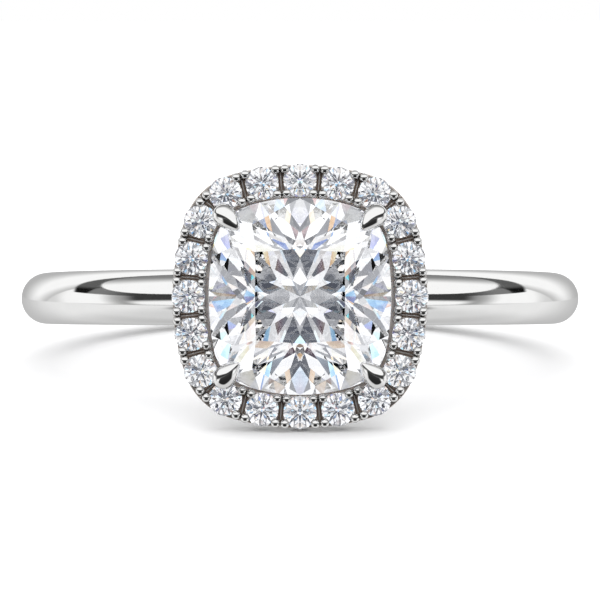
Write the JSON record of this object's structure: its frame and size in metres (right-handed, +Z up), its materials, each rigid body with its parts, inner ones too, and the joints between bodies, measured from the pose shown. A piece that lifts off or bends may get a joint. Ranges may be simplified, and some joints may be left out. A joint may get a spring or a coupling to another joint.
{
  "type": "halo ring",
  "caption": "Finger ring in polished white metal with a cushion-cut centre stone in four teardrop claws and a halo of small round stones, lying on its side.",
  "frame": {"origin": "middle of the ring's footprint on the surface it lies on, with the ring at rest on its side", "axes": "+Z up; the head and its centre stone's table face -Y, tilted up by the resting angle; X runs across the head"},
  "size_m": [0.0198, 0.0236, 0.008],
  "materials": {
    "white_gold": "polished rhodium-bright white gold",
    "diamond": "polished facets, clear and colourless"
  },
  "bodies": {
    "root": {"ring_metal": "white_gold", "center_stone": "diamond", "halo_stone_01": "diamond", "halo_stone_02": "diamond", "halo_stone_03": "diamond", "halo_stone_04": "diamond", "halo_stone_05": "diamond", "halo_stone_06": "diamond", "halo_stone_07": "diamond", "halo_stone_08": "diamond", "halo_stone_09": "diamond", "halo_stone_10": "diamond", "halo_stone_11": "diamond", "halo_stone_12": "diamond", "halo_stone_13": "diamond", "halo_stone_14": "diamond", "halo_stone_15": "diamond", "halo_stone_16": "diamond", "halo_stone_17": "diamond", "halo_stone_18": "diamond", "halo_stone_19": "diamond", "halo_stone_20": "diamond"}
  },
  "joints": []
}
